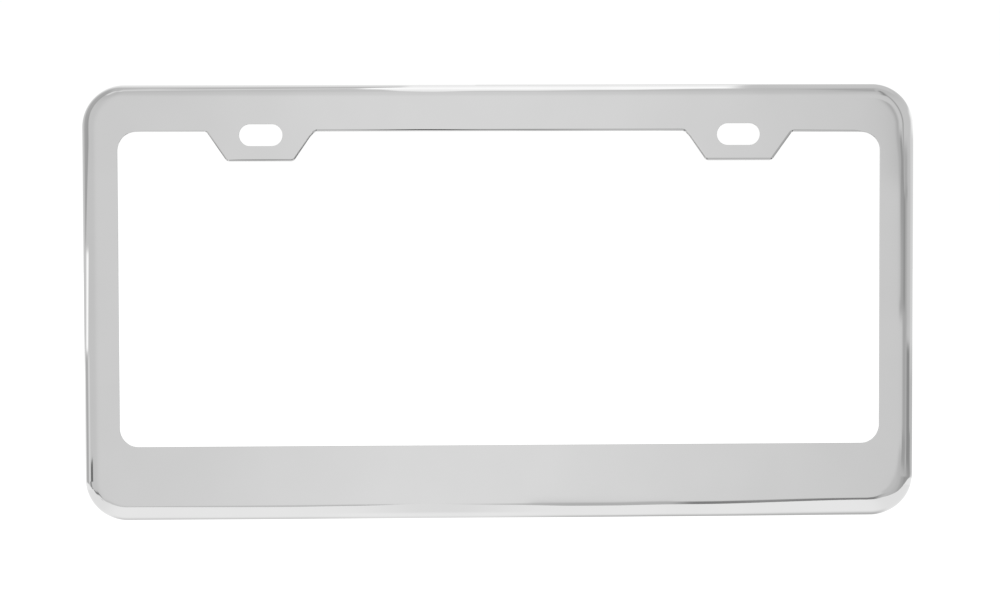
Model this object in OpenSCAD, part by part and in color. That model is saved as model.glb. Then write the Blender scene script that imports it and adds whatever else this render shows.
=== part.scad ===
// Number plate holder: one pressed sheet of polished stainless steel.
// A flat face with a window, two bolt tabs that hang into the window, and an
// edge that is bent back all round. It is modelled upright, as it hangs on a
// vehicle: +X to the right, +Z up, and +Y from the face towards the vehicle.
// The origin is midway between the two bolt slots, on the back of the face.

/* [Outside] */
// Width of the holder over its rim
frame_w = 311; // [304:0.5:330]
// Height of the holder over its rim
frame_h = 162.6; // [158:0.2:180]
// Depth from the front of the face to the back of the rim
frame_d = 8.5; // [7:0.1:14]
// Radius of the four outer corners, seen from the front
corner_r = 15.8; // [10:0.2:20]

/* [Sheet] */
// Thickness of the sheet
sheet_t = 0.8; // [0.6:0.05:1.2]
// Outer radius of the bend between the face and the rim
bend_r = 5.2; // [3:0.1:6]
// Angle by which the rim opens past square, so that it leaves its die
rim_flare = 2; // [0.5:0.5:5]

/* [Window] */
// Width of the window
window_w = 284; // [270:0.2:290]
// Height of the window, from the top bar to the bottom bar
window_h = 116.9; // [100:0.1:122]
// Radius of the window's corners
window_r = 7; // [3:0.5:12]
// Height of the bar above the window, from its upper edge
top_bar_h = 17.8; // [16:0.1:21]

/* [Bolt tabs] */
// Distance between the two bolt slots, centre to centre
slot_spacing = 177.8; // [170:0.2:190]
// Height of the slots' centres below the holder's upper edge
slot_drop = 18.8; // [17:0.1:21]
// Length of a slot from end to end
slot_l = 16.1; // [12:0.1:18]
// Width of a slot, across its parallel sides
slot_w = 8.1; // [6.5:0.1:9]
// Width of a tab where it leaves the top bar
tab_root_w = 40.4; // [36:0.2:46]
// Width of a tab at its lower end
tab_tip_w = 25.2; // [22:0.2:30]
// Height by which a tab hangs below the top bar
tab_drop = 10.7; // [9:0.1:14]
// Radius of a tab's two lower corners
tab_tip_r = 1.8; // [0.5:0.1:3]
// Radius of the two inner corners where a tab leaves the top bar
tab_root_r = 1.5; // [0.5:0.1:3]

/* [Hidden] */
$fn = 96;

// A size worked out from others, to the nearest thousandth of a millimetre
function near(size) = round(size * 1000) / 1000;

// Heights of the window's edges above or below the line of the slots
window_top_z = slot_drop - top_bar_h;
window_mid_z = window_top_z - window_h / 2;
// Height of the holder's middle
frame_mid_z = slot_drop - frame_h / 2;

// The rim's straight wall, and how far its back end stands out from the line
// where the flat face ends
rim_wall = near((frame_d - bend_r + (bend_r - sheet_t) * sin(rim_flare))
    / cos(rim_flare));
rim_reach = near(bend_r * cos(rim_flare) + rim_wall * sin(rim_flare));
// The flat face, inside the bend
face_w = frame_w - 2 * rim_reach;
face_h = frame_h - 2 * rim_reach;
face_r = corner_r - rim_reach;
// Strip of flat sheet that the rim's section takes in, inside the bend, and
// strip of the top bar that a tab's outline takes in
rim_lap = 1;
tab_lap = 4;

// Amount by which a corner's rounding bites into the sides that it meets, so
// that it crosses them cleanly and leaves no sliver beside them
corner_bite = 0.0005;

// An outline is a list of corners [x, z, radius] that runs counterclockwise
// round what it encloses.
function rectangle(w, h, r) = [
    [-w / 2, -h / 2, r],
    [w / 2, -h / 2, r],
    [w / 2, h / 2, r],
    [-w / 2, h / 2, r]
];

// One bolt tab, with its strip of the top bar, whose lower edge is at height
// 0. Its root corners cut in, where it spreads into the bar, and its tip
// corners jut out.
function tab_outline() =
    let (spread = tab_root_w / 2 + 2 * tab_root_r) [
        [-spread, tab_lap, 0],
        [-spread, 0, 0],
        [-tab_root_w / 2, 0, tab_root_r],
        [-tab_tip_w / 2, -tab_drop, tab_tip_r],
        [tab_tip_w / 2, -tab_drop, tab_tip_r],
        [tab_root_w / 2, 0, tab_root_r],
        [spread, 0, 0],
        [spread, tab_lap, 0]
    ];

// The point at a distance and direction from another
function polar(start, distance, angle) =
    start + distance * [cos(angle), sin(angle)];

// Corner number i of an outline as a point, counted round and round
function point(outline, i) =
    let (c = outline[(i + len(outline)) % len(outline)]) [c[0], c[1]];

// Direction, in degrees, of the side that leaves corner i
function heading(outline, i) =
    let (v = point(outline, i + 1) - point(outline, i)) atan2(v[1], v[0]);

// Angle that the outline turns at corner i: positive turns left
function turn(outline, i) =
    let (a = heading(outline, i) - heading(outline, i - 1))
    a > 180 ? a - 360 : a < -180 ? a + 360 : a;

// 1 at a corner that juts out, -1 at one that cuts in
function side(outline, i) = turn(outline, i) > 0 ? 1 : -1;

// Where the rounding of corner i starts and ends on its two sides
function arc_from(outline, i) =
    polar(point(outline, i), -setback(outline, i), heading(outline, i - 1));
function arc_to(outline, i) =
    polar(point(outline, i), setback(outline, i), heading(outline, i));
function setback(outline, i) =
    outline[i][2] * tan(abs(turn(outline, i)) / 2);

// Centre of the arc that rounds corner i, and the direction from it to the
// arc's start
function centre(outline, i) =
    polar(arc_from(outline, i), outline[i][2],
          heading(outline, i - 1) + 90 * side(outline, i));
function arc_angle(outline, i) =
    heading(outline, i - 1) - 90 * side(outline, i);

// What lies between the sharp point of corner i and its rounding. It reaches
// past the sharp point by as far as that lies from the rounding's centre.
module spandrel(outline, i) {
    difference() {
        polygon([
            arc_from(outline, i),
            2 * point(outline, i) - centre(outline, i),
            arc_to(outline, i)
        ]);
        translate(centre(outline, i)) circle(outline[i][2] + corner_bite);
    }
}

// Area inside an outline: corners that cut in are filled to their radius, and
// corners that jut out are cut to theirs
module area(outline) {
    corners = [for (i = [0 : len(outline) - 1]) if (outline[i][2] > 0) i];
    difference() {
        union() {
            polygon([for (corner = outline) [corner[0], corner[1]]]);
            for (i = corners)
                if (side(outline, i) < 0)
                    spandrel(outline, i);
        }
        for (i = corners)
            if (side(outline, i) > 0)
                spandrel(outline, i);
    }
}

// Carries a section round an outline whose corners all jut out. The
// section's x is the distance outward from the outline, and its y the height
// above the back of the face.
module carry(outline) {
    for (i = [0 : len(outline) - 1]) {
        next = (i + 1) % len(outline);
        stretch = arc_from(outline, next) - arc_to(outline, i);
        translate(centre(outline, i))
            rotate(arc_angle(outline, i))
            rotate_extrude(angle = turn(outline, i))
            translate([outline[i][2], 0])
            children();
        translate(arc_from(outline, next))
            rotate(heading(outline, i))
            rotate([90, 0, -90])
            linear_extrude(norm(stretch))
            children();
    }
}

// Section of the rim: a strip of the flat face, a bend through nearly a
// right angle, then a short wall that opens by the flare and is cut square
module rim_section() {
    past = 2 * bend_r;
    translate([-rim_lap, 0]) square([rim_lap, sheet_t]);
    translate([0, sheet_t - bend_r]) {
        intersection() {
            difference() {
                circle(bend_r);
                circle(bend_r - sheet_t);
            }
            polygon([
                [0, 0],
                [0, past],
                [past, past],
                polar([0, 0], past, rim_flare)
            ]);
        }
        rotate(rim_flare)
            translate([bend_r - sheet_t, -rim_wall])
            square([sheet_t, rim_wall]);
    }
}

// Flat outline of the face, with its window, tabs and bolt slots. It ends
// halfway across the strip that the rim's section takes in.
module face_area() {
    lap = rim_lap / 2;
    difference() {
        translate([0, frame_mid_z])
            area(rectangle(face_w - 2 * lap, face_h - 2 * lap,
                           face_r - lap));
        translate([0, window_mid_z])
            area(rectangle(window_w, window_h, window_r));
    }
    for (x = [-slot_spacing / 2, slot_spacing / 2])
        translate([x, window_top_z]) area(tab_outline());
}

// The two bolt slots, with half-round ends
module slots_area() {
    for (x = [-slot_spacing / 2, slot_spacing / 2])
        translate([x, 0]) {
            square([slot_l - slot_w, slot_w], center = true);
            for (end = [-1, 1])
                translate([end * (slot_l - slot_w) / 2, 0])
                    circle(slot_w / 2);
        }
}

// The whole holder: flat face with its openings, and the bent rim
module plate_frame() {
    color([0.82, 0.83, 0.84])
        rotate([90, 0, 0])
        union() {
            linear_extrude(sheet_t)
                difference() {
                    face_area();
                    slots_area();
                }
            translate([0, frame_mid_z])
                carry(rectangle(face_w, face_h, face_r)) rim_section();
        }
}

plate_frame();
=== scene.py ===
import bpy
import numpy as np
from mathutils import Matrix


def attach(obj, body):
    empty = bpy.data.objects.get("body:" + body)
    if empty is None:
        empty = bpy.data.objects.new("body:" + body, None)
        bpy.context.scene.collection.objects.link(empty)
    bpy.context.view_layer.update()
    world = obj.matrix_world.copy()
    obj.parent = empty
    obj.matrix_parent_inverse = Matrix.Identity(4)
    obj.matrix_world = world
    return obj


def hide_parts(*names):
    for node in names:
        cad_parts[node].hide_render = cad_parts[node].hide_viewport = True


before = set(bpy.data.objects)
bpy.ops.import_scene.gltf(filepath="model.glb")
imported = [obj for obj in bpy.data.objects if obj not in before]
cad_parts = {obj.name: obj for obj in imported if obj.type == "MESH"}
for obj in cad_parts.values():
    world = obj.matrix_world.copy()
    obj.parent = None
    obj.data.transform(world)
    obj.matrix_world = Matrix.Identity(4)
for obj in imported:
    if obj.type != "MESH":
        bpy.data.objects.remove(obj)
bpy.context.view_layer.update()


# The blank. The holder is one sheet of stainless steel: it is punched out, its
# edge is folded back in a press, and it is polished last. The punch leaves a
# wide window, two tabs at its upper edge, and a slot for a bolt in each tab.

# Sizes are in millimetres from midway between the slots, on the back of the
# face: x to the right, y back towards the vehicle and z up
MM = 0.001
sheet = 0.8
face_y = -sheet
window = dict(half=142.0, top=1.0, bottom=-115.9, corner=7.0)
tab = dict(out=88.9, root=20.2, tip=12.6, low=-9.7, root_r=1.5, tip_r=1.8)
slot = dict(run=4.0, end=4.05)
# The line along which the edge is folded, the strip inside it that is made with
# the rim, and half the width of the patch of face that is made round each slot
fold = dict(half=150.183, top=13.483, bottom=-138.483, corner=10.483)
lead = 5.6
patch = 21.6
# Steps along the sides, round the big corners, along the upper edge beside the
# tabs and between them, along and round each tab, and across the bars
long_steps, short_steps, corner_steps = 130, 76, 30
beside_steps, between_steps = 22, 60
tab_steps, tab_corner_steps = [2, 14, 24, 14, 2], [8, 10, 10, 8]
bar_rows = 7


def traced(corners, line_steps, arc_steps):
    """Points and normals along an outline with its material on the right.

    A side is start + t (end - start). The rounding of a corner is
    centre + radius * normal, where the normal turns evenly from the one side's
    to the next one's. Corners are (x, z, radius), the first and last square.
    """
    corner = np.array(corners, float)
    way = np.diff(corner[:, :2], axis=0)
    way /= np.linalg.norm(way, axis=1)[:, None]
    right = np.stack([way[:, 1], -way[:, 0]], 1)
    turn = np.arctan2(
        way[:-1, 0] * way[1:, 1] - way[:-1, 1] * way[1:, 0],
        (way[:-1] * way[1:]).sum(1),
    )
    back = np.concatenate([[0], corner[1:-1, 2] * np.tan(np.abs(turn) / 2), [0]])
    starts = corner[:-1, :2] + way * back[:-1, None]
    ends = corner[1:, :2] - way * back[1:, None]
    points, normals = [], []
    for i, steps in enumerate(line_steps):
        t = np.linspace(0, 1, steps + 1)[:, None]
        points.append(starts[i] + t * (ends[i] - starts[i]))
        normals.append(np.repeat(right[i : i + 1], steps + 1, 0))
        if i < len(turn):
            t = np.linspace(0, 1, arc_steps[i] + 1)[1:-1]
            angle = np.arctan2(right[i, 1], right[i, 0]) + turn[i] * t
            normal = np.stack([np.cos(angle), np.sin(angle)], 1)
            radius = np.sign(turn[i]) * corner[i + 1, 2]
            points.append(ends[i] - radius * right[i] + radius * normal)
            normals.append(normal)
    return np.concatenate(points), np.concatenate(normals)


def ring(half, top, bottom, corner):
    """The line down the left side, along the bottom and up the right side.

    It begins and ends at the patches round the slots.
    """
    reach = tab["out"] + patch
    return traced(
        [
            (-reach, top, 0),
            (-half, top, corner),
            (-half, bottom, corner),
            (half, bottom, corner),
            (half, top, corner),
            (reach, top, 0),
        ],
        [beside_steps, short_steps, long_steps, short_steps, beside_steps],
        [corner_steps] * 4,
    )


def crossing(start, end, height, steps):
    """A straight line at one height."""
    return traced([(start, height, 0), (end, height, 0)], [steps], [])


def tab_line(middle):
    """The cut line round one tab, from right to left."""
    return traced(
        [
            (middle + patch, window["top"], 0),
            (middle + tab["root"], window["top"], tab["root_r"]),
            (middle + tab["tip"], tab["low"], tab["tip_r"]),
            (middle - tab["tip"], tab["low"], tab["tip_r"]),
            (middle - tab["root"], window["top"], tab["root_r"]),
            (middle - patch, window["top"], 0),
        ],
        tab_steps,
        tab_corner_steps,
    )


# The outer line goes round the face in the same steps as the cut line, from the
# left patch round to the right patch and then back across the top
inset = dict(
    half=fold["half"] - lead,
    top=fold["top"] - lead,
    bottom=fold["bottom"] + lead,
    corner=fold["corner"] - lead,
)
tab_middles = (tab["out"], -tab["out"])
gap_ends = (tab["out"] - patch, patch - tab["out"])
outer_ring = ring(**inset)
outer_gap = crossing(*gap_ends, inset["top"], between_steps)
cut_ring = ring(**window)
cut_gap = crossing(*gap_ends, window["top"], between_steps)
cut_tabs = [tab_line(middle) for middle in tab_middles]
outer_tops = [
    crossing(middle + patch, middle - patch, inset["top"], len(cut_tabs[0][0]) - 1)
    for middle in tab_middles
]


def ramp(v, start, end):
    """0 before start, 1 past end, and (v - start) / (end - start) between."""
    return np.clip((v - start) / (end - start), 0, 1)


# The mop thins the tabs on the sides that look at each other. It takes a little
# off the window's upper edge as well, and leaves it lower at its right end.
tabs_thinned, edge_raised, edge_lowered = 0.5, 0.32, 0.3
for points, _ in cut_tabs:
    taken = tabs_thinned * ramp(np.abs(points[:, 0]), 81, 77)
    taken = taken * ramp(points[:, 1], window["top"], -1)
    points[:, 0] += taken * np.sign(points[:, 0])
for points, _ in (cut_ring, cut_gap, *cut_tabs):
    taken = edge_raised - (edge_raised + edge_lowered) * ramp(points[:, 0], 60, 130)
    points[:, 1] += taken * ramp(points[:, 1], -9, 0)


def slot_line(angle):
    """Points and normals of a slot's cut line in the directions asked for.

    On a straight side the point is end * (cos a / |sin a|, 1). On a round end
    it is the distance run |cos a| + sqrt(end^2 - run^2 sin^2 a) away.
    """
    c, s = np.cos(angle), np.sin(angle)
    run, end = slot["run"], slot["end"]
    far = run * np.abs(c) + np.sqrt(np.maximum(end**2 - (run * s) ** 2, 0))
    straight = end * np.abs(c) < run * np.abs(s)
    far = np.where(straight, end / np.maximum(np.abs(s), 1e-9), far)
    points = np.stack([far * c, far * s], 1)
    core = np.stack([np.clip(points[:, 0], -run, run), np.zeros(len(c))], 1)
    return points, (points - core) / end


def patch_loop(cut, top, clear):
    """The closed line round a tab's patch, kept clear of its cut edge."""
    low = (cut[0] + clear * cut[1])[::-1]
    up = np.linspace(low[-1], top[0][0], bar_rows + 1)
    down = np.linspace(top[0][-1], low[0], bar_rows + 1)
    return np.concatenate([top[0], down[1:], low[1:], up[1:]])


def around(loop, below=6, even=0.05):
    """Rising directions in which the points of a loop meet the slot in it.

    They are the points' directions seen from just below the slot's middle,
    held level where they fall back, with a small share of an even turn.
    """
    angle = np.unwrap(np.arctan2(loop[:, 1] + below, loop[:, 0]))
    rising = np.maximum.accumulate(angle)
    steady = np.linspace(rising[0], rising[-1], len(rising))
    return (1 - even) * rising + even * steady


slot_path = slot_line(
    around(patch_loop(cut_tabs[0], outer_tops[0], 0) - [tab_middles[0], 0])
)


# The punched edges of the window, tabs and slots. The punch pulls the front
# over into a small roll, which the polishing leaves bright, shears a smooth
# wall below it, and breaks the last of the thickness away.
roll_side, roll_under, roll_slot = 0.2, 0.95, 0.12
shear_end, break_start, back_break = -0.15, (0.03, -0.05), 0.07
# How far the roll leans once it has left the flat face
first_lean = 0.75
# The sums are taken in fine steps, and the mesh has a few of them, which are
# closer together where the roll turns into the wall
roll_fine_steps, roll_steps, crowding = 800, 14, 1.6


def eased(w):
    """3 w^2 - 2 w^3: it runs from 0 to 1 as w does, and is level at both."""
    return w * w * (3 - 2 * w)


def roll_width(line):
    """Width of the roll along a line: more where its metal is above the edge.

    It is side + (under - side) times the eased share, which fades out in the
    window's upper corners and is less beyond the left tab than elsewhere.
    """
    points, normals = line
    x = points[:, :1]
    under = ramp(normals[:, 1:], 0.1, 0.55) * ramp(np.abs(x), 137, 132)
    under = under * (1 - 0.4 * ramp(x, -96, -102))
    return roll_side + (roll_under - roll_side) * eased(under)


def cut_section(width):
    """The roll and the wall below it, at an edge where the roll has a width.

    Along the roll, from its start at t = 0 to the wall at t = 1, the lean is
    first t^0.5 + (pi / 2 - first) t^9, and the place is the sum of
    (-cos lean, sin lean), sized to the width.
    """
    t = np.linspace(0, 1, roll_fine_steps + 1)
    lean = first_lean * t**0.5 + (np.pi / 2 - first_lean) * t**9
    middle = (lean[1:] + lean[:-1]) / 2
    u = np.concatenate([[0], np.cumsum(np.cos(middle))])
    y = np.concatenate([[0], np.cumsum(np.sin(middle))]) / u[-1]
    u = 1 - u / u[-1]
    at = 1 - (1 - np.linspace(0, 1, roll_steps + 1)) ** crowding
    u, y, lean = (np.interp(at, t, v)[:, None] for v in (u, y, lean))
    roll = np.stack([width * u, face_y + width * y], -1)
    wall = np.array([[[0, 0]], [[0, shear_end]], [break_start], [[back_break, 0]]])
    wall = wall + np.zeros(roll.shape[1:])
    wall[0] = roll[-1]
    # The wall looks square out of the edge, and then back where the metal broke
    wall_facing = np.array([[[-1, 0]], [[-1, 0]], [[-1, 0.15]], [[-0.75, 0.66]]])
    return (roll, np.stack([-np.sin(lean), -np.cos(lean)], -1)), (wall, wall_facing)


# The flat face, which is what stays flat between the window and the fold. Its
# front is polished, and its back lies on the number plate.
def spread(inner, outer, rows):
    """Grid between two lines with as many points: inner + t (outer - inner)."""
    t = np.linspace(0, 1, rows + 1)[:, None, None]
    return inner + t * (outer - inner)


def laid_flat(grid, y, facing):
    """A flat grid at one depth, and its normals, which all face one way."""
    points = np.stack([grid[..., 0], np.full(grid.shape[:2], y), grid[..., 1]], -1)
    return points, np.broadcast_to([0.0, facing, 0.0], points.shape)


def faces_at(y, facing, edge_clear, slot_clear):
    """All flat grids of one side of the face, its cut edges kept clear."""
    grids = [
        spread(cut[0] + edge_clear(cut) * cut[1], outer[0], bar_rows)
        for cut, outer in ((cut_ring, outer_ring), (cut_gap, outer_gap))
    ]
    for middle, cut, top in zip(tab_middles, cut_tabs, outer_tops):
        hole = slot_path[0] + slot_clear * slot_path[1] + [middle, 0]
        loop = patch_loop(cut, top, edge_clear(cut))
        grids.append(spread(hole, loop, bar_rows))
    return [laid_flat(grid, y, facing) for grid in grids]


# The rim. The press folds the blank's edge back through nearly a right angle,
# which leaves a round bend and a short wall that opens by two degrees, so that
# the holder leaves its die. The wall's end is a trimmed edge.
bend_r, flare = 5.2, np.radians(2)
# Where the wall ends, outward from the fold and in depth, and how far its two
# corners are broken
wall_end = (5.317, 7.672)
trim = 0.08
# Share of its radius over which the bend begins, on either side of its start,
# where the die held the sheet tight and at the corners where it was loose
ease_tight, ease_loose = 0.36, 0.72
# The most by which its radius grows and shrinks along parts of the bottom
slack_most, tight_most = 1.6, 0.35
# Steps of the section, and the fine ones in which its sums are taken
lead_steps, ease_steps, bend_steps, wall_steps = 2, 14, 24, 4
bend_fine_steps = 2400


def soft(v, start, end):
    """0 before start, 1 past end, and 3 w^2 - 2 w^3 of the ramp w between."""
    return eased(ramp(v, start, end))


def bend_radius(place):
    """Radius of the bend round the holder.

    Along the bottom it grows softly to the right corner, and it is a little
    less on the left half.
    """
    x, z = place[:, 0], place[:, 1]
    slack = slack_most * soft(x, 72, 140) * soft(x, 144.6, 141)
    tight = tight_most * soft(x, 65, 40) * soft(x, -150, -80)
    return bend_r + soft(z, -122, -131) * (slack - tight)


def looseness(place):
    """How loose the sheet was in the die, from 0 to 1: at the right corners."""
    x, z = place[:, 0], place[:, 1]
    return soft(x, 138, 144) * np.maximum(soft(z, -12, 4), soft(z, -114, -130))


def bend_line(radius, ease):
    """Section of the rim's outside as points and normals (outward, y).

    Along a bend of radius 1 the curvature grows from 0 to 1 as 3 w^2 - 2 w^3
    over the eased stretch, and then stays. The lean is its sum, and the place
    is the sum of (cos lean, sin lean). It is taken times each radius and set
    on the wall, which stays where it is and runs on straight.
    """
    stop = np.pi / 2 - flare
    t = np.linspace(-ease, stop, bend_fine_steps + 1)
    w = ramp(t, -ease, ease)
    lean = 2 * ease * (w**3 - w**4 / 2) + np.maximum(t - ease, 0)
    step = np.diff(t)
    middle = (lean[1:] + lean[:-1]) / 2
    u = -ease + np.concatenate([[0], np.cumsum(np.cos(middle) * step)])
    y = np.concatenate([[0], np.cumsum(np.sin(middle) * step)])
    at = np.concatenate(
        [np.linspace(-ease, ease, ease_steps + 1)[:-1],
         np.linspace(ease, stop, bend_steps + 1)]
    )
    u, y, lean = (np.interp(at, t, v)[:, None] for v in (u, y, lean))
    y = face_y + radius * y
    wall_u = wall_end[0] - (wall_end[1] - y[-1]) * np.tan(flare)
    u = wall_u + radius * (u - u[-1])
    run = np.linspace(0, 1, lead_steps + 1)[:-1, None]
    flat_u = -lead + run * (u[0] + lead)
    run = np.linspace(0, 1, wall_steps + 1)[1:, None]
    end_u = u[-1] + run * (wall_end[0] - u[-1])
    end_y = y[-1] + run * (wall_end[1] - y[-1])
    u = np.concatenate([flat_u, u, end_u])
    y = np.concatenate([0 * flat_u + face_y, y, end_y])
    lean = np.concatenate(
        [np.zeros((lead_steps, 1)), lean, np.full((wall_steps, 1), stop)]
    )
    return np.stack([u, y], -1), np.stack([np.sin(lean), -np.cos(lean)], -1)


def joined(*parts):
    """One closed path from open ones that follow each other."""
    return [np.concatenate([part[i][:-1] for part in parts]) for i in (0, 1)]


def closed(values):
    """Values at the points of a closed path, with the first again at the end."""
    return np.concatenate([values, values[:1]])


rim_path = joined(outer_ring, outer_tops[0], outer_gap, outer_tops[1])
radii, loose = closed(bend_radius(rim_path[0])), closed(looseness(rim_path[0]))
outside = [
    tight + loose[:, None] * (slack - tight)
    for tight, slack in zip(bend_line(radii, ease_tight), bend_line(radii, ease_loose))
]
# The section starts from the path, which lies the lead inside the fold
outside[0][..., 0] += lead
inside = [(outside[0] - sheet * outside[1])[::-1], -outside[1][::-1]]
front_end, back_end = outside[0][-1].copy(), inside[0][0].copy()
thickness = back_end - front_end
along = thickness / np.linalg.norm(thickness, axis=-1, keepdims=True)
past = np.array([np.sin(flare), np.cos(flare)])
outside[0][-1] -= trim * past
inside[0][0] -= trim * past
front_broken, back_broken = front_end + trim * along, back_end - trim * along
trimmed = [
    np.stack([outside[0][-1], front_broken, back_broken, inside[0][0]]),
    np.stack([past - along, past + 0 * along, past + 0 * along, past + along]),
]


# The holder's skin is one closed mesh of all these surfaces. Its normals are
# the sheet's own, so that what it mirrors runs on from the face over the bend.
BRIGHT, SHEARED, DULL = range(3)
# Points that fall into the same cell of this grid become one. The shift keeps
# its lines away from round numbers.
cells_per_mm, cell_shift = 5000, 0.31


def carried(path, section):
    """A section carried round a closed path, with its normals.

    A point is path + u * outward at depth y, and its normal is
    nu * outward + ny * y. The section may differ from point to point.
    """
    place, out = (closed(values) for values in path)
    made = []
    for base, line in zip((place, 0 * place), section):
        shape = (len(line), len(place))
        u, y = (np.broadcast_to(line[..., i], shape) for i in (0, 1))
        x, z = base[:, 0] + u * out[:, 0], base[:, 1] + u * out[:, 1]
        made.append(np.stack([x, y, z], -1))
    return made


def quads_of(rows, columns):
    """Numbers of the points at the corners of each quad of a grid, in turn."""
    i = np.arange(rows * columns).reshape(rows, columns)
    corners = [i[:-1, :-1], i[:-1, 1:], i[1:, 1:], i[1:, :-1]]
    return np.stack(corners, -1).reshape(-1, 4)


def pressed(name, skins):
    """One closed mesh from grids of points and normals, in millimetres.

    Points of neighbouring grids that coincide become one. A grid whose quads'
    diagonals cross against its normals is turned over.
    """
    points, normals, quads, finish = [], [], [], []
    first = 0
    for grid, lean, kind in skins:
        q = quads_of(*grid.shape[:2])
        flat_points, flat_lean = grid.reshape(-1, 3), lean.reshape(-1, 3)
        corner = flat_points[q]
        facing = np.cross(corner[:, 2] - corner[:, 0], corner[:, 3] - corner[:, 1])
        if (facing * flat_lean[q].mean(1)).sum() < 0:
            q = q[:, ::-1]
        points.append(flat_points)
        normals.append(flat_lean)
        quads.append(q + first)
        finish.append(np.full(len(q), kind))
        first += len(flat_points)
    points, normals = np.concatenate(points), np.concatenate(normals)
    quads, finish = np.concatenate(quads), np.concatenate(finish)
    cells = np.floor(points * cells_per_mm + cell_shift).astype(np.int64)
    _, keep, same = np.unique(cells, axis=0, return_index=True, return_inverse=True)
    mesh = bpy.data.meshes.new(name)
    mesh.vertices.add(len(keep))
    mesh.vertices.foreach_set("co", (points[keep] * MM).astype(np.float32).ravel())
    mesh.loops.add(quads.size)
    mesh.loops.foreach_set("vertex_index", same.ravel()[quads].astype(np.int32).ravel())
    mesh.polygons.add(len(quads))
    mesh.polygons.foreach_set("loop_start", np.arange(0, quads.size, 4, dtype=np.int32))
    mesh.polygons.foreach_set("material_index", finish.astype(np.int32))
    mesh.polygons.foreach_set("use_smooth", np.ones(len(quads), bool))
    mesh.update(calc_edges=True)
    lean = normals[quads.ravel()]
    lean /= np.linalg.norm(lean, axis=1)[:, None]
    mesh.normals_split_custom_set(lean.astype(np.float32))
    return mesh


skins = [(*grid, BRIGHT) for grid in faces_at(face_y, -1.0, roll_width, roll_slot)]
skins += [
    (*grid, DULL) for grid in faces_at(0.0, 1.0, lambda line: back_break, back_break)
]
skins.append((*carried(rim_path, outside), BRIGHT))
skins.append((*carried(rim_path, trimmed), SHEARED))
skins.append((*carried(rim_path, inside), DULL))
window_path = joined(cut_ring, cut_tabs[0], cut_gap, cut_tabs[1])
edges = [(window_path, closed(roll_width(window_path)[:, 0]))]
for middle in tab_middles:
    path = [slot_path[0][:-1] + [middle, 0], slot_path[1][:-1]]
    edges.append((path, np.full(1, roll_slot)))
for path, width in edges:
    rolled, sheared = cut_section(width)
    skins.append((*carried(path, rolled), BRIGHT))
    skins.append((*carried(path, sheared), SHEARED))

holder = bpy.data.objects.new("plate_holder", pressed("plate_holder", skins))
bpy.context.collection.objects.link(holder)


# The finishes. The front is polished to a mirror with a soft mop, the cut
# edges keep the marks of the punch, and the back keeps the mill's dull grain.
class Wire:
    """A socket that can be reckoned with: each operator adds its Math node."""

    def __init__(self, tree, socket=None):
        self.tree, self.socket = tree, socket

    def node(self, kind, settings=(), sockets=(), out=0):
        """A new node: its settings are set first, then its sockets."""
        made = self.tree.nodes.new(kind)
        for name, value in dict(settings).items():
            if name == "stops":
                ramp_stops = made.color_ramp.elements
                while len(ramp_stops) < len(value):
                    ramp_stops.new(1.0)
                for stop, (at, grey) in zip(ramp_stops, value):
                    stop.position, stop.color = at, (grey, grey, grey, 1)
            else:
                setattr(made, name, value)
        for name, value in dict(sockets).items():
            if isinstance(value, Wire):
                self.tree.links.new(value.socket, made.inputs[name])
            else:
                made.inputs[name].default_value = value
        return Wire(self.tree, made.outputs[out])

    def reckon(self, operation, *values):
        """A Math node on the values given, in their order."""
        return self.node("ShaderNodeMath", {"operation": operation}, enumerate(values))

    def __add__(self, other):
        return self.reckon("ADD", self, other)

    def __mul__(self, other):
        return self.reckon("MULTIPLY", self, other)

    __radd__, __rmul__ = __add__, __mul__


def material(name):
    """A new empty material, a wire to start from, and its surface socket."""
    made = bpy.data.materials.new(name)
    made.use_nodes = True
    made.node_tree.nodes.clear()
    end = made.node_tree.nodes.new("ShaderNodeOutputMaterial")
    return made, Wire(made.node_tree), end.inputs["Surface"]


def grain(wires, scale, stretch, detail):
    """Noise on the piece's own coordinates, drawn out along its axes."""
    at = wires.node("ShaderNodeTexCoord", out="Object")
    at = wires.node("ShaderNodeMapping", {}, {"Vector": at, "Scale": stretch})
    return wires.node(
        "ShaderNodeTexNoise", {}, {"Vector": at, "Scale": scale, "Detail": detail}
    )


cloud_scale, cloud_low, cloud_high = 38, 0.3, 0.7


def steel(name, tone, clouds, wave, rough, rougher, marks, scale, stretch):
    """Bare metal with fine marks, drawn out along the way it was worked.

    Its roughness is rough + rougher * marks, and marks is their height in
    metres. Soft clouds a few centimetres wide change its tone by a share of
    it, and the sheet waves with them by a few thousandths of a millimetre.
    """
    made, wires, surface = material(name)
    lines = grain(wires, scale, stretch, detail=3.0)
    cloudy = grain(wires, cloud_scale, (1, 1, 1), detail=2.0)
    stops = (cloud_low, tone * (1 - clouds)), (cloud_high, tone * (1 + clouds))
    colour = wires.node("ShaderNodeValToRGB", {"stops": stops}, {"Fac": cloudy})
    relief = wires.node(
        "ShaderNodeBump",
        {},
        {"Height": lines * marks + cloudy * wave, "Strength": 1.0, "Distance": 1.0},
    )
    skin = wires.node(
        "ShaderNodeBsdfPrincipled",
        {},
        {
            "Base Color": colour,
            "Metallic": 1.0,
            "Roughness": lines * rougher + rough,
            "Normal": relief,
        },
    )
    wires.tree.links.new(skin.socket, surface)
    return made


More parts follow.
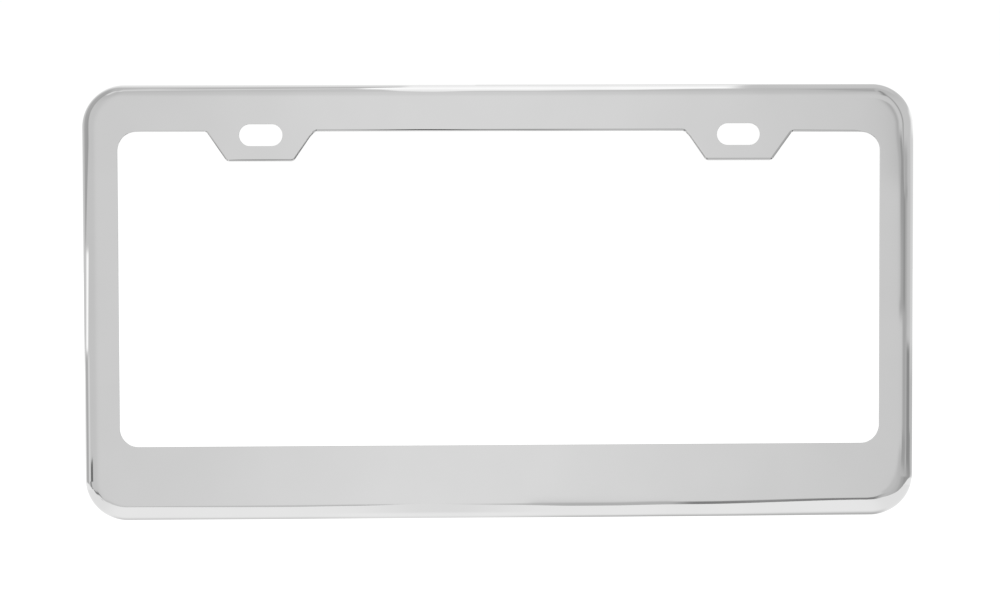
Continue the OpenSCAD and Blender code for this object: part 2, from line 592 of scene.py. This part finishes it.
bright_polish = steel(
    "bright_polish", tone=0.76, clouds=0.012, wave=6e-6, rough=0.025, rougher=0.04,
    marks=6e-7, scale=1100, stretch=(0.03, 1, 1),
)
sheared_edge = steel(
    "sheared_edge", tone=0.6, clouds=0.05, wave=0.0, rough=0.25, rougher=0.2,
    marks=2e-5, scale=900, stretch=(1, 0.15, 1),
)
dull_back = steel(
    "dull_back", tone=0.62, clouds=0.05, wave=1e-5, rough=0.22, rougher=0.22,
    marks=1e-5, scale=700, stretch=(0.08, 1, 1),
)
# In the order of BRIGHT, SHEARED and DULL
for finish in (bright_polish, sheared_edge, dull_back):
    holder.data.materials.append(finish)
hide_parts("plate_frame")
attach(holder, "root")


# The studio's floor is a wide sheet of white paper well below the holder. To
# the camera and in the holder's polish it glows, so that it is seen as white.
floor_z, floor_half, floor_white, floor_glow = -250.0, 6000.0, 0.8, 0.25


def laid(name, points, tone=None):
    """A stage sheet from a grid of points, with its tone at each point."""
    mesh = bpy.data.meshes.new(name)
    mesh.from_pydata((points * MM).reshape(-1, 3), [], quads_of(*points.shape[:2]))
    if tone is not None:
        mesh.attributes.new("tone", "FLOAT", "POINT").data.foreach_set(
            "value", tone.astype(np.float32).ravel()
        )
    made = bpy.data.objects.new(name, mesh)
    bpy.context.collection.objects.link(made)
    return made


def looked_at(wires):
    """1 for rays from the camera, from a polish or through glass, and 0 else."""
    camera_ray, glossy_ray, clear_ray = (
        wires.node("ShaderNodeLightPath", out=kind)
        for kind in ("Is Camera Ray", "Is Glossy Ray", "Is Transmission Ray")
    )
    return camera_ray + glossy_ray + clear_ray


sides = np.array([-floor_half, floor_half])
floor = laid(
    "studio_floor",
    np.stack(np.broadcast_arrays(sides[None, :], sides[:, None], floor_z), -1),
)
paper, wires, surface = material("floor_paper")
matt = wires.node("ShaderNodeBsdfDiffuse", {}, {"Color": (*[floor_white] * 3, 1)})
glow = wires.node(
    "ShaderNodeEmission",
    {},
    {"Color": (1, 1, 1, 1), "Strength": looked_at(wires) * floor_glow},
)
both = wires.node("ShaderNodeAddShader", {}, {0: matt, 1: glow})
wires.tree.links.new(both.socket, surface)
floor.data.materials.append(paper)

# The air round it is plain and even, a shade brighter where it is looked at,
# and one large soft lamp stands above. The polish doesn't mirror the lamp.
air_light, air_seen = 0.8, 0.22
lamp_power, lamp_width, lamp_lean = 0.9, np.radians(50), np.radians([25, -15, 0])
world = bpy.data.worlds.new("studio")
world.use_nodes = True
world.node_tree.nodes.clear()
wires = Wire(world.node_tree)
air = wires.node(
    "ShaderNodeBackground",
    {},
    {"Color": (1, 1, 1, 1), "Strength": looked_at(wires) * air_seen + air_light},
)
end = wires.tree.nodes.new("ShaderNodeOutputWorld")
wires.tree.links.new(air.socket, end.inputs["Surface"])
bpy.context.scene.world = world

lamp = bpy.data.objects.new("soft_light", bpy.data.lights.new("soft_light", "SUN"))
lamp.data.energy = lamp_power
lamp.data.angle = lamp_width
lamp.rotation_euler = lamp_lean
lamp.visible_glossy = False
bpy.context.collection.objects.link(lamp)


# The tent is what the polish mirrors: a glowing tube round the holder with a domed
# roof, and a sheet on its floor. Its glow is painted in patches of light and shade,
# which the polish shows as painted reflections. Only mirrored rays see it.
tent_r, tent_low, tent_wall, tent_top = 360.0, floor_z + 1, 100.0, 460.0
floor_rows, wall_rows, dome_rows = 90, 180, 90
# Degrees round the tent, 0 in front and positive to the right. They are closest
# together where the face mirrors the edge of the painted dark patch on the right.
degrees = np.concatenate(
    [
        np.linspace(-180, 30, 421),
        np.linspace(30, 40, 101)[1:],
        np.linspace(40, 180, 281)[1:],
    ]
)


def bump(v, middle, width):
    """A soft hump, 1 in its middle: exp(-((v - middle) / width)^2)."""
    return np.exp(-(((v - middle) / width) ** 2))


def band(v, low, high, fade):
    """1 between low and high, which fades to 0 just outside them."""
    return soft(v, low - fade, low) * soft(v, high + fade, high)


def paint_light(tone, *patches):
    """The glow after patches of painted light and shade are laid on it one after the
    other.

    A patch is a mask and a level, and gives tone + mask (level - tone).
    """
    for mask, level in patches:
        tone = tone + mask * (level - tone)
    return tone


out = np.linspace(0, 1, floor_rows + 1)
up = np.linspace(0, 1, wall_rows + 1)[1:]
bow = np.linspace(0, np.pi / 2, dome_rows + 1)[1:]
from_middle = np.concatenate([tent_r * out, tent_r + 0 * up, tent_r * np.cos(bow)])
height = np.concatenate(
    [
        tent_low + 0 * out,
        tent_low + up * (tent_wall - tent_low),
        tent_wall + (tent_top - tent_wall) * np.sin(bow),
    ]
)
x = from_middle[:, None] * np.sin(np.radians(degrees))
y = -from_middle[:, None] * np.cos(np.radians(degrees))
z = np.repeat(height[:, None], len(degrees), 1)
# In the patches below, az is degrees round the tent, el is degrees up its roof,
# and x, y and z are millimetres
az = np.repeat(degrees[None, :], len(height), 0)
el = np.degrees(np.arctan2(z - tent_wall, np.hypot(x, y)))

# The tent's painted glow in front of the holder, brightest in its middle and dimmer
# further up
tone = 0.70 + 0.175 * bump(az, -3, np.where(az < -3, 26, 34)) * soft(y, 100, -200)
tone += 0.03 * bump(az, -5, 22) * soft(z, -80, -180) + 0.03 * bump(az, -35, 9)
tone -= 0.075 * soft(el, 2, 30)
# The cloth behind the holder, lit from the left
tone = paint_light(
    tone,
    (band(az, -200, -118, 14) * soft(z, -85, -110), 1.0),
    (band(az, -200, -140, 20) * band(el, 8, 40, 25), 0.95),
    (band(az, 112, 150, 26) * band(z, 14, 60, 40), 1.15),
    (band(az, 100, 200, 10) * band(z, -90, 0, 8), 0.80),
)
# The roof, painted dimmer, with a painted bright streak and a thin painted bright line
# on its left
painted_streak = band(x, -200, -70, 20) * bump(y - x, 92, 30)
tone = paint_light(
    tone,
    (soft(el, 42, 62) * soft(y, 60, -60), 0.66 + 0.06 * bump(x, -20, 70)),
    (soft(y, -40, 60) * soft(x, 90, 170) * soft(z, 200, 250), 0.71),
    (painted_streak * soft(z, 180, 230), 0.9),
    (band(az, -105, -80, 10) * bump(el, 62, 2), 0.8),
)
# The lamp's light on the roof and the back
lit_left = -36 - 24 * soft(y, 170, 50)
lit_front = -162 - 55 * bump(x, -22, 16) + 125 * soft(x, -38, -52)
lit_front += 40 * soft(x, 30, 70) + 100 * soft(x, 75, 130)
lit = soft(x, lit_left - 4, lit_left + 4) * soft(x, 144, 132)
lit = lit * soft(y, lit_front - 25, lit_front + 25)
tone = paint_light(tone, (lit * soft(z, 200, 250), 1.08 + 0.2 * bump(y, 45, 120)))
# A painted dark patch on the left, a painted bright streak over it, the painted light
# beside it, and two painted upright bands, one dark and one light
dark_patch_left = -103 - 0.1 * np.clip(z - 20, 0, 120)
dark_patch_right = -74 + 0.55 * np.minimum(z, 0) - 0.08 * np.clip(z - 20, 0, 80)
dark_patch = soft(az, dark_patch_left - 7, dark_patch_left + 7)
dark_patch = dark_patch * soft(az, dark_patch_right + 4, dark_patch_right - 3)
dark_patch_tone = 0.43 + 0.05 * soft(az, -80, -95) * soft(z, -40, 20)
dark_patch_tone = dark_patch_tone + 0.03 * soft(z, 60, 140)
gleam_at = -81 + 0.2 * (z + 48)
gleam = soft(az, gleam_at - 20, gleam_at - 8) * soft(az, gleam_at + 4, gleam_at - 1)
tone = paint_light(
    tone,
    (dark_patch * soft(z, -50, -42) * soft(el, 46, 32), dark_patch_tone),
    (bump(az, -71 + 12 * soft(el, 42, 48), 7) * band(el, 29, 50, 3), 0.92),
    (gleam * band(z, -91, -50, 4), 1.25),
    (band(az, -108, -96, 7) * band(z, -172, -98, 5), 0.52),
    (band(az, -87, -83, 5) * band(z, -165, -98, 6), 0.85),
)
# A soft painted dark patch on the right, with a harder edge in front of it
dark_right_end = 48 + 13 * soft(z, -10, -30)
dark_right = soft(az, 33.8, 35.5) * soft(az, dark_right_end + 2, dark_right_end - 4)
high = soft(z, -60, -22)
dark_right_tone = 0.72 - (0.24 + 0.05 * high) * soft(az, 34, 43 - 2 * high)
dark_right_tone -= (0.125 - 0.06 * high) * soft(az, 43, 58) + 0.05 * soft(z, -26, -12)
behind = soft(az, 33.8, 38) * soft(az, 98, 82)
tone = paint_light(
    tone,
    (behind * band(z, -76, -8, 12), 0.46 + 0.2 * soft(az, 60, 82)),
    (band(az, 64, 73, 3) * bump(z, -23, 3), 0.46),
    (soft(az, 42, 54) * soft(az, 84, 60) * band(z, -140, -84, 10), 0.49),
    (dark_right * band(z, -72, 0, 9), dark_right_tone),
    (bump(az, 57, 4) * band(z, -21, -6, 5), 0.57),
    (band(az, 80, 130, 10) * band(z, -150, -110, 10), 0.62),
)
# Below it a grey painted patch, and the painted dark line that runs down into it
deep = soft(z, -157, -168)
dark_right_low_tone = 0.655 - 0.055 * soft(az, 35, 43) - 0.2 * soft(az, 60, 88) * (1 - deep)
dark_right_low_tone -= (0.12 * soft(az, 43, 55) + 0.08 * soft(az, 56, 66)) * deep
dark_right_low_start = 33.5 + 0.9 * soft(z, -166, -154) + soft(z, -176, -188)
dark_right_low = soft(az, dark_right_low_start, dark_right_low_start + 0.7 + 5 * soft(z, -166, -154))
tone = paint_light(
    tone,
    (dark_right_low * soft(az, 104, 96) * soft(z, -142, -150), dark_right_low_tone),
    (band(az, 49, 62, 5) * band(z, -148, -141, 8), 0.43),
    (band(az, 88, 97, 4) * band(z, -150, -134, 5), 0.4),
    (band(az, 76, 88, 8) * band(z, -144, -96, 8), 0.33),
)
# Two thin painted dark arcs over it, which lean in towards the roof, and a painted dark
# line up its front
tone = paint_light(
    tone,
    (bump(az, 48 + 0.52 * (el - 14), 5) * band(el, 16, 36, 6), 0.34),
    (bump(el, 54 - 16 * soft(az, 64, 44), 5) * band(az, 48, 74, 10), 0.5),
    (bump(az, 52.5, 2.6) * soft(z, -20, 10) * soft(el, 20, 12), 0.42),
    (bump(az, 37, 3) * band(z, -8, 50, 18), 0.53),
)
# Low on the tent the glow changes: a painted dark gap on its left, and a painted white
# band below that comes up to it
edge = -163 - 23 * soft(np.abs(az), 50, 32) - 27 * bump(az, -42, 7)
edge = edge - 66 * bump(az, -61, np.where(az < -61, 25, 22))
bright_band_edge = edge - 67 * bump(az, 50, 26.5)
dark_hem_top = edge - 14 * soft(az, 20, 33)
tone = paint_light(
    tone,
    (bump(z, dark_hem_top + 6, 7) * band(az, -50, -33, 6), 0.68),
    (bump(z, dark_hem_top + 8, 9) * band(az, -74, -49, 8), 0.2),
    (band(az, -77, -67, 3) * band(z, -161, -145, 3), 0.18),
    (band(az, -83, -77, 3) * band(z, -192, -162, 3), 0.32),
    (soft(z, bright_band_edge + 2, bright_band_edge - 6), 1.03 - 0.07 * band(az, -75, -38, 5)),
)
# Below that in front the glow is painted dark, and darkest left of the middle. The
# masks run along x as the holder's lower edge shows it.
shown_x = (x - 13) / 1.41
dark_hem_tone = 0.56 + 0.26 * bump(shown_x, -18, 22) + 0.1 * soft(shown_x, -50, -70)
dark_hem_tone += 0.08 * bump(shown_x, 93, 10) + 0.3 * soft(shown_x, 128, 142)
dark_hem_tone -= 0.3 * soft(shown_x, 59, 69)
dark_hem = soft(z, dark_hem_top + 4, dark_hem_top - 4) * soft(y, -150, -280)
tone = paint_light(
    tone,
    (band(shown_x, 12, 58, 5) * soft(z, -178, -184), 0.66),
    (band(az, -34, 36, 3) * dark_hem, dark_hem_tone),
)
# The tent's floor is painted dark in front, and on both sides of the holder
shown_x = (x - 10) / 1.3
dark = 0.62 - 0.6 * bump(shown_x, -28, 16) - 0.2 * bump(shown_x, 8, 24)
dark += 0.14 * soft(shown_x, -104, -112) - 0.22 * bump(shown_x, -90, 14)
on_floor = soft(z, -246, -248.5)
beside = soft(y, 20, 0) * on_floor
tone = paint_light(
    tone,
    (band(shown_x, -140, 140, 10) * on_floor * soft(y, -60, -80), dark),
    (soft(x, 205, 220) * beside, 0.12),
    (soft(-x, 205, 220) * beside, 0.42),
)
tent = laid("tent_painted_glow", np.stack([x, y, z], -1), tone)

# A glowing white card lies under the holder, with the holder's shadow painted on its
# rear part. Its front edge is uneven, and is what the bend at the bottom mirrors.
card_z, card_half, card_back = -149.0, 200, 300
across = np.linspace(-card_half, card_half, 401)[None, :]
front = -58 - 30 * bump(across, -28, 18) + 20 * soft(across, 5, 30)
front = front + 6 * soft(across, 140, 160) + 8 * soft(across, -60, -80)
front = front + 24 * soft(across, -150, -165)
# Rows are closest together at the front
back = np.linspace(0, 1, 121)[:, None] ** 2
x, y, z = np.broadcast_arrays(across, front + back * (card_back - front), card_z)
card_tone = 1.03 - 0.12 * bump(x, -22, 30) * soft(y, -1, -6)
card_tone = card_tone - 0.06 * soft(x, 140, 152) - 0.07 * soft(x, -145, -160)
painted_shadow = soft(y, 1.5, 8) * soft(np.abs(x), 152, 142)
painted_shadow_tone = 0.86 - 0.14 * soft(x, -40, -80) - 0.31 * soft(x, -10, 40)
card_tone = paint_light(card_tone, (painted_shadow, painted_shadow_tone))
card = laid("white_card", np.stack([x, y, z], -1), card_tone)

# The tent and the card glow with their painted tone, which is the painted light and
# shade that the polish mirrors
painted_glow, wires, surface = material("tent_painted_glow")
shown = wires.node("ShaderNodeAttribute", {"attribute_name": "tone"}, out="Fac")
glow = wires.node(
    "ShaderNodeEmission", {}, {"Color": (1, 1, 1, 1), "Strength": shown}
)
wires.tree.links.new(glow.socket, surface)
painted_glow.cycles.emission_sampling = "NONE"
for mirrored in (tent, card):
    mirrored.data.materials.append(painted_glow)
    mirrored.visible_camera = False
    mirrored.visible_diffuse = False
    mirrored.visible_transmission = False
    mirrored.visible_shadow = False


# The camera stands where the photograph was taken from, a metre in front of
# the holder, a little to its left and above its middle.
aim = np.array([-0.267, 0.0, -61.62]) * MM
distance, lens, sensor = 1.0, 96.437, 36.0
turned, raised, tilted = np.radians([-1.8655, 2.5287, -0.1678])
away = np.array(
    [np.sin(turned) * np.cos(raised), -np.cos(turned) * np.cos(raised), np.sin(raised)]
)
right = np.array([np.cos(turned), np.sin(turned), 0.0])
above = np.cross(away, right)
placed = np.eye(4)
placed[:3, 0] = np.cos(tilted) * right + np.sin(tilted) * above
placed[:3, 1] = -np.sin(tilted) * right + np.cos(tilted) * above
placed[:3, 2] = away
placed[:3, 3] = aim + distance * away
camera = bpy.data.objects.new("camera", bpy.data.cameras.new("camera"))
camera.data.lens = lens
camera.data.sensor_width = sensor
camera.matrix_world = Matrix(placed)
bpy.context.collection.objects.link(camera)
bpy.context.scene.camera = camera
bpy.context.scene.view_settings.view_transform = "Standard"
